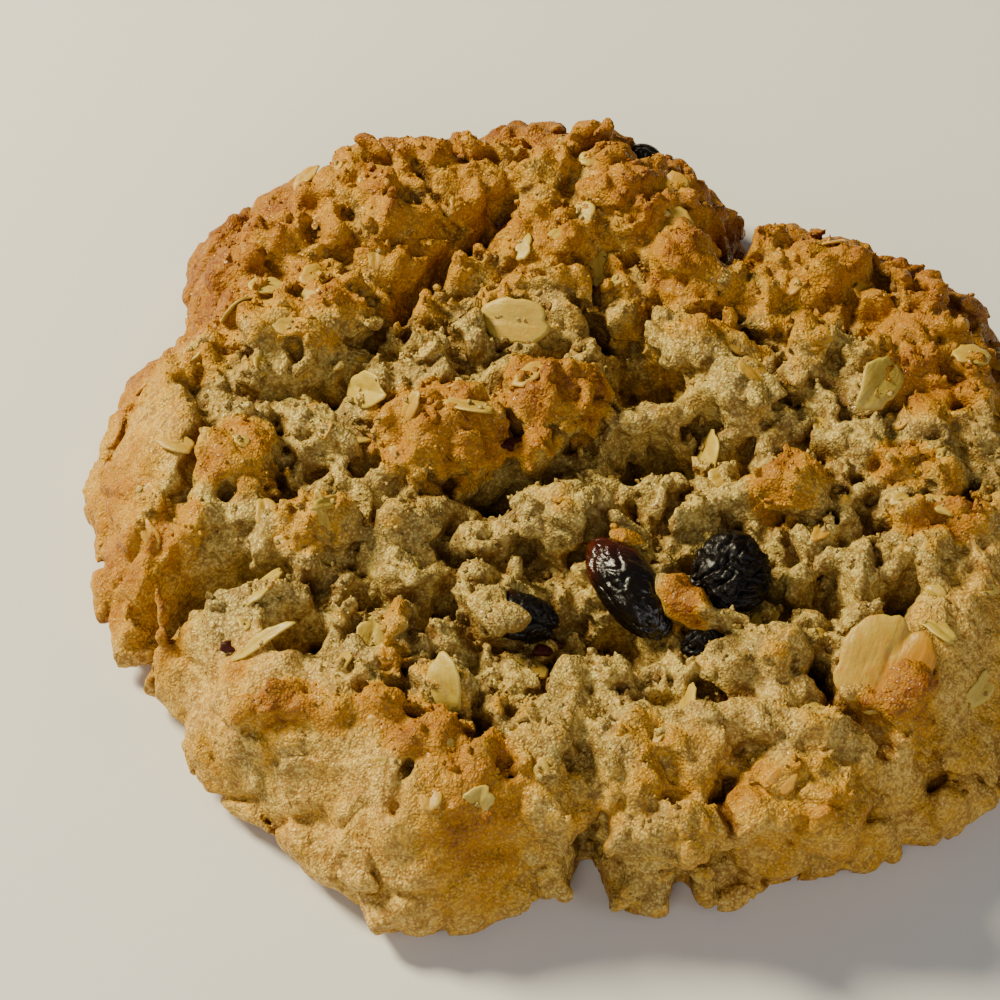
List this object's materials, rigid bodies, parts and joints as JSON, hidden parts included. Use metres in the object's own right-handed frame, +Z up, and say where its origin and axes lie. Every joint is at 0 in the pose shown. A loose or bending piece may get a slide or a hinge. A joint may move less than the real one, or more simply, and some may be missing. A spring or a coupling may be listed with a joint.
{
  "type": "oatmeal raisin cookie",
  "caption": "Round home-baked oatmeal cookie with a cracked rim, craggy broken crumb, oat flakes and dark wrinkled raisins.",
  "frame": {"origin": "middle of the flat baked base, which lies in the plane Z = 0", "axes": "+Z up, out of the craggy top; -Y towards the near rim of the picture; +X to the right as seen from there"},
  "size_m": [0.0829, 0.083, 0.0177],
  "materials": {
    "baked_dough": "matt, grainy, tan crumb browned to orange on the raised clods",
    "raisin_skin": "wrinkled, half glossy, almost black"
  },
  "bodies": {
    "root": {"cookie": "baked_dough", "raisin_1": "raisin_skin", "raisin_2": "raisin_skin", "raisin_3": "raisin_skin", "raisin_4": "raisin_skin", "raisin_5": "raisin_skin"}
  },
  "joints": []
}
